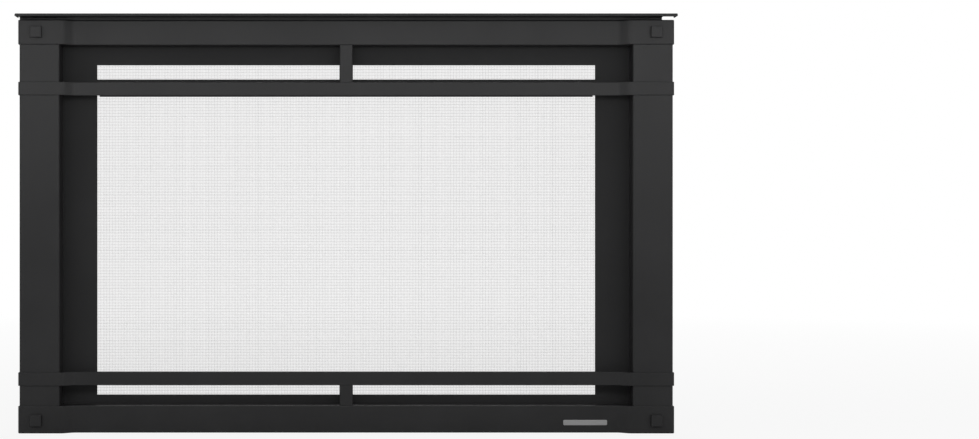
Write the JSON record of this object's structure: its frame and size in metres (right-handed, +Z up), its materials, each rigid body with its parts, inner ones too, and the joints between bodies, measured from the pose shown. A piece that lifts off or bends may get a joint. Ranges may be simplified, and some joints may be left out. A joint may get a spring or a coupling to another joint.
{
  "type": "fireplace screen",
  "caption": "Black folded-steel fireplace front with a shelf cap, joggled cross straps, square corner pegs and a lift-out woven mesh safety screen behind its openings.",
  "frame": {"origin": "middle of the bounding box in X and Y, at the underside of the base rail", "axes": "+X to the right along the width, +Y from the decorative front towards the back, +Z up"},
  "size_m": [1.112, 0.068, 0.706],
  "materials": {
    "black_coat": "satin black powder coat",
    "surround_coat": "matt black heat-resistant paint",
    "mesh_wire": "bright woven stainless wire",
    "zinc_hardware": "bright zinc plate",
    "galvanised_strip": "galvanised steel strip",
    "badge_metal": "brushed aluminium"
  },
  "bodies": {
    "front": {"top_cap": "black_coat", "cap_riser": "black_coat", "riser_nuts": "zinc_hardware", "header_rail": "black_coat", "base_rail": "black_coat", "left_post": "black_coat", "right_post": "black_coat", "upper_cross_strap": "black_coat", "lower_cross_strap": "black_coat", "strap_nuts": "zinc_hardware", "upper_mullion": "black_coat", "lower_mullion": "black_coat", "surround_top_panel": "surround_coat", "surround_transom_bar": "surround_coat", "surround_sill_bar": "surround_coat", "surround_foot_panel": "surround_coat", "surround_left_jamb": "surround_coat", "surround_right_jamb": "surround_coat", "peg_washers": "zinc_hardware", "peg_nuts": "zinc_hardware", "badge_plate": "badge_metal", "left_screen_channel": "black_coat", "right_screen_channel": "black_coat", "left_screen_rest": "black_coat", "right_screen_rest": "black_coat", "frame_rivets": "zinc_hardware", "rest_rivets": "zinc_hardware", "lug_rivets": "zinc_hardware", "corner_peg_lower_left": "black_coat", "corner_peg_lower_right": "black_coat", "corner_peg_upper_left": "black_coat", "corner_peg_upper_right": "black_coat", "mounting_lug_lower_left": "black_coat", "mounting_lug_lower_right": "black_coat", "mounting_lug_upper_left": "black_coat", "mounting_lug_upper_right": "black_coat"},
    "screen": {"screen_top_rail": "black_coat", "screen_bottom_rail": "black_coat", "screen_left_stile": "black_coat", "screen_right_stile": "black_coat", "mesh_cloth": "mesh_wire", "mesh_clamp_top": "galvanised_strip", "mesh_clamp_bottom": "galvanised_strip", "mesh_clamp_left": "galvanised_strip", "mesh_clamp_right": "galvanised_strip", "screen_corner_gussets": "zinc_hardware", "clamp_screws": "zinc_hardware", "gusset_screws": "zinc_hardware", "left_lift_tab": "black_coat", "right_lift_tab": "black_coat", "tab_rivets": "zinc_hardware"}
  },
  "joints": [
    {"name": "screen_lift", "type": "slide", "parent": "front", "child": "screen", "axis": [0, 0, 1], "range_m": [0, 0.6]}
  ]
}
